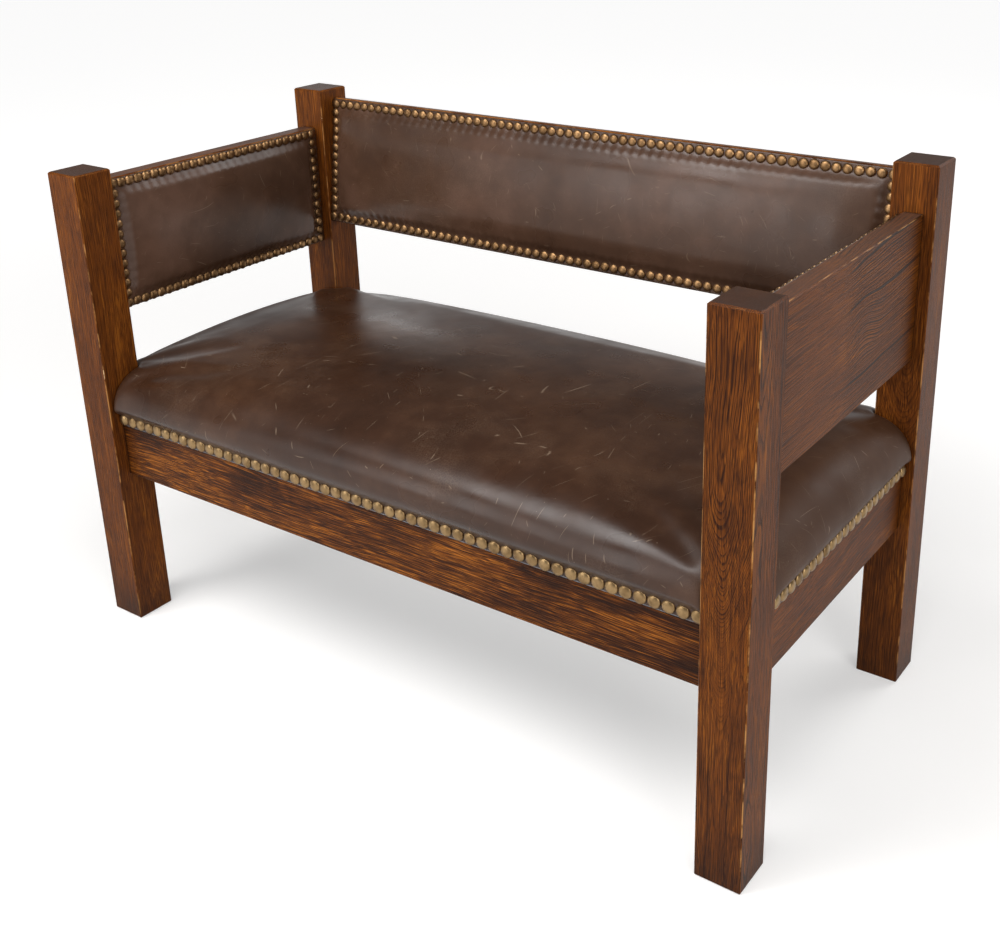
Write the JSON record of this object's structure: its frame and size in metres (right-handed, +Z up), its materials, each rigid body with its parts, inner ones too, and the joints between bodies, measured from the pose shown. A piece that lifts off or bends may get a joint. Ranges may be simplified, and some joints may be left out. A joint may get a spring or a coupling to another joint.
{
  "type": "mission settle",
  "caption": "Square-post oak settle with a crowned leather seat nailed over its rails and nailed leather panels inside the arms and the leaning back.",
  "frame": {"origin": "on the floor, under the middle of the outline of the posts", "axes": "+X to the right as seen from the front, +Y to the back, +Z up"},
  "size_m": [1.288, 0.628, 0.873],
  "materials": {
    "oak": "dark fumed oak, oiled, with open pores",
    "plain_oak": "unfinished oak inside the seat frame",
    "leather": "dark brown leather, satin, scuffed and waxed",
    "brass_nails": "antique brass, dull in the hollows and bright on the crowns",
    "hair_padding": "loose curled hair and felt",
    "jute_webbing": "plain woven jute",
    "burlap": "open plain weave",
    "black_cambric": "matt black cloth",
    "steel_screws": "plain steel"
  },
  "bodies": {
    "root": {"front_left_post": "oak", "front_right_post": "oak", "back_left_post": "oak", "back_right_post": "oak", "front_seat_rail": "oak", "back_seat_rail": "oak", "left_seat_rail": "oak", "right_seat_rail": "oak", "seat_cross_rail": "plain_oak", "front_left_corner_block": "plain_oak", "front_right_corner_block": "plain_oak", "back_left_corner_block": "plain_oak", "back_right_corner_block": "plain_oak", "corner_block_screws": "steel_screws", "left_arm_board": "oak", "right_arm_board": "oak", "back_board": "oak", "left_arm_padding": "hair_padding", "right_arm_padding": "hair_padding", "back_padding": "hair_padding", "left_arm_leather": "leather", "right_arm_leather": "leather", "back_leather": "leather", "lengthwise_webbing": "jute_webbing", "crosswise_webbing": "jute_webbing", "seat_burlap": "burlap", "dust_cover": "black_cambric", "seat_cover": "leather", "seat_padding": "hair_padding"}
  },
  "joints": []
}
